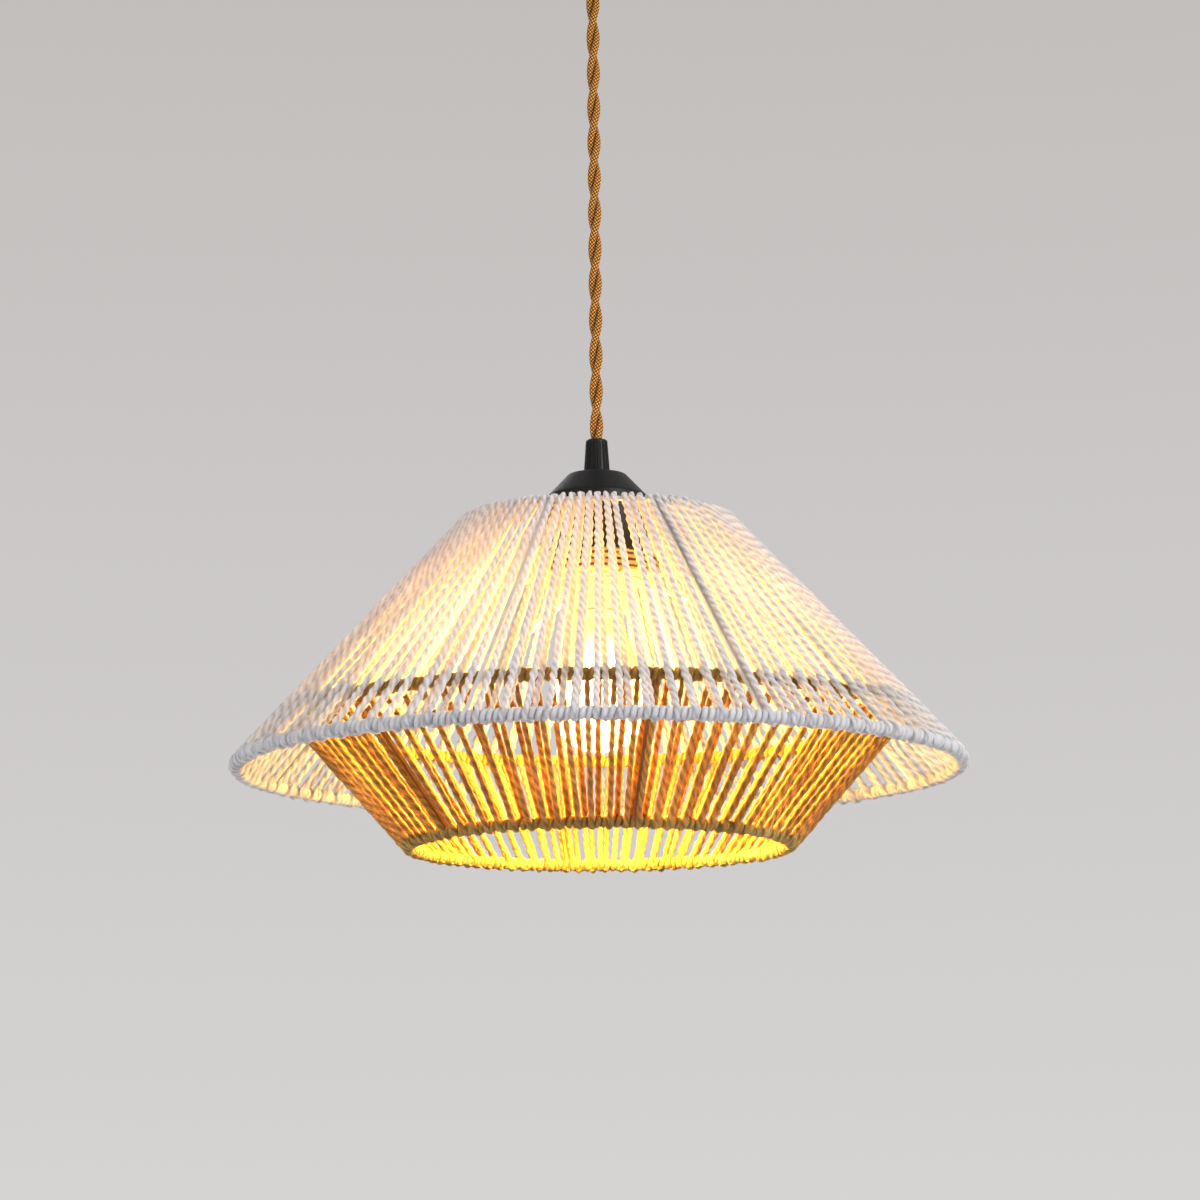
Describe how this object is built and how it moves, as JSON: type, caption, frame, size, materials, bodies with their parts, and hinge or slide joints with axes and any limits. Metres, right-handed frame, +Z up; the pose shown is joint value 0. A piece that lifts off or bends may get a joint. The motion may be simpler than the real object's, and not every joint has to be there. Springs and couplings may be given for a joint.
{
  "type": "hanging lantern",
  "caption": "Pendant lamp: wide conical rope shade over a smaller inverted brown rope shade, on a twisted fabric cord with a black cap, screw-in bulb and ceiling canopy.",
  "frame": {"origin": "centre of the ceiling bracket's upper face, in the plane of the ceiling", "axes": "+Z up, along the cord; -Y is the front, +X is to the right"},
  "size_m": [0.45, 0.4498, 0.605],
  "materials": {
    "zinc_steel": "zinc plated, satin",
    "black_metal": "satin black paint",
    "black_plastic": "satin black moulding",
    "white_plastic": "natural nylon",
    "ceramic": "glazed ceramic",
    "brass": "plain",
    "nickel_brass": "nickel plated",
    "core_insulation": "smooth insulation",
    "cord_braid": "copper-brown braided fabric",
    "bulb_glass": "clear, warm",
    "clear_glass": "clear",
    "white_wire": "white powder coat",
    "brown_wire": "brown powder coat",
    "white_rope": "twisted paper rope, off-white",
    "brown_rope": "twisted paper rope, natural brown"
  },
  "bodies": {
    "ceiling": {"ceiling_bracket": "zinc_steel", "canopy_cup": "black_metal", "canopy_screws": "black_metal", "canopy_grip": "black_plastic", "canopy_nut": "zinc_steel", "terminal_block": "white_plastic", "terminal_screws": "brass", "canopy_leads": "core_insulation"},
    "cord": {"cord": "cord_braid"},
    "grip": {"lamp_grip": "black_plastic", "grip_clamp_screw": "black_plastic"},
    "lamp": {"threaded_nipple": "zinc_steel", "lamp_cap": "black_metal", "cap_nut": "zinc_steel", "lampholder": "white_plastic", "holder_core": "ceramic", "socket_shell": "brass", "centre_contact": "brass", "holder_screws": "brass", "holder_leads": "core_insulation", "holder_collar": "brown_wire"},
    "ring": {"shade_ring": "white_plastic"},
    "bulb_thread": {"bulb_base": "nickel_brass", "bulb_insulator": "black_plastic", "bulb_tip": "nickel_brass"},
    "bulb": {"bulb_glass": "bulb_glass", "bulb_post": "clear_glass"},
    "shade": {"spider_hub": "white_wire", "spider_arms": "white_wire", "shade_links": "white_wire", "inner_bottom_ring": "brown_wire", "inner_bottom_wrap": "brown_rope", "inner_rope_inside": "brown_rope", "inner_rope_outside": "brown_rope", "inner_struts": "brown_wire", "inner_top_ring": "brown_wire", "inner_top_wrap": "brown_rope", "outer_bottom_ring": "white_wire", "outer_bottom_wrap": "white_rope", "outer_rope_inside": "white_rope", "outer_rope_outside": "white_rope", "outer_struts": "white_wire", "outer_top_ring": "white_wire", "outer_top_wrap": "white_rope"}
  },
  "joints": [
    {"name": "cord_swing", "type": "hinge", "parent": "ceiling", "child": "cord", "pos_m": [0, 0, -0.04], "axis": [0, 1, 0], "range_deg": [-30, 30]},
    {"name": "lamp_tilt", "type": "hinge", "parent": "cord", "child": "grip", "pos_m": [0, 0, -0.351], "axis": [1, 0, 0], "range_deg": [-20, 20]},
    {"name": "lamp_twist", "type": "hinge", "parent": "grip", "child": "lamp", "pos_m": [0, 0, -0.351], "axis": [0, 0, 1], "range_deg": [-180, 180]},
    {"name": "shade_turn", "type": "hinge", "parent": "lamp", "child": "shade", "pos_m": [0, 0, -0.4371], "axis": [0, 0, 1], "continuous": true},
    {"name": "ring_travel", "type": "slide", "parent": "lamp", "child": "ring", "axis": [0, 0, -1], "range_m": [0, 0.012]},
    {"name": "bulb_travel", "type": "slide", "parent": "lamp", "child": "bulb_thread", "axis": [0, 0, -1], "range_m": [0, 0.0255]},
    {"name": "bulb_turn", "type": "hinge", "parent": "bulb_thread", "child": "bulb", "pos_m": [0, 0, -0.515], "axis": [0, 0, -1], "range_deg": [0, 2520]}
  ],
  "couplings": [
    {"joint": "bulb_travel", "follows": "bulb_turn", "m_per_rad": 0.00057757}
  ]
}
